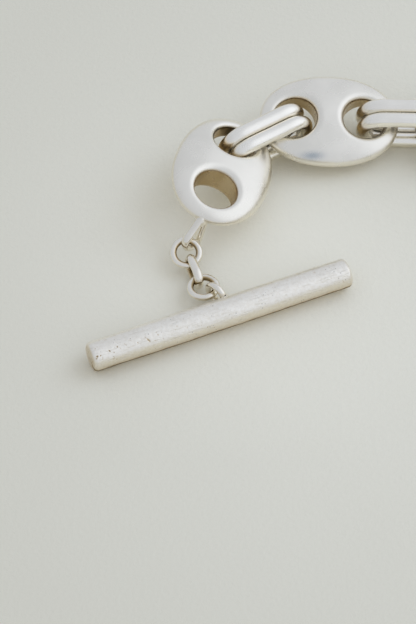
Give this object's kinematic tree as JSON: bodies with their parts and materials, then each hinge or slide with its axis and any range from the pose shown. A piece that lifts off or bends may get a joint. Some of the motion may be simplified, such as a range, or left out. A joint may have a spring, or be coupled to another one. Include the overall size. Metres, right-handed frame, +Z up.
{
  "type": "link bracelet",
  "caption": "Silver toggle bracelet lying open: domed oval links with round holes, joined by paired wire rings, with a round bar on a small chain.",
  "frame": {"origin": "middle of the lying bracelet's footprint, on the surface it rests on", "axes": "+Z up from the surface, +X to the right of the picture along the longest extent, +Y away from the camera"},
  "size_m": [0.0964, 0.0716, 0.009],
  "materials": {
    "link_silver": "satin-polished silver",
    "ring_silver": "satin-polished silver",
    "chain_silver": "polished silver",
    "bar_silver": "finely brushed silver with small scratches and pits"
  },
  "bodies": {
    "root": {"end_link": "link_silver", "link_2": "link_silver", "link_3": "link_silver", "link_4": "link_silver", "link_5": "link_silver", "link_6": "link_silver", "clasp_link": "link_silver", "ring_1_far": "ring_silver", "ring_1_near": "ring_silver", "ring_2_far": "ring_silver", "ring_2_near": "ring_silver", "ring_3_far": "ring_silver", "ring_3_near": "ring_silver", "ring_4_far": "ring_silver", "ring_4_near": "ring_silver", "ring_5_far": "ring_silver", "ring_5_near": "ring_silver", "ring_6_far": "ring_silver", "ring_6_near": "ring_silver", "chain_ring_1": "chain_silver", "chain_long_link": "chain_silver", "chain_ring_2": "chain_silver", "toggle_bar": "bar_silver"}
  },
  "joints": []
}
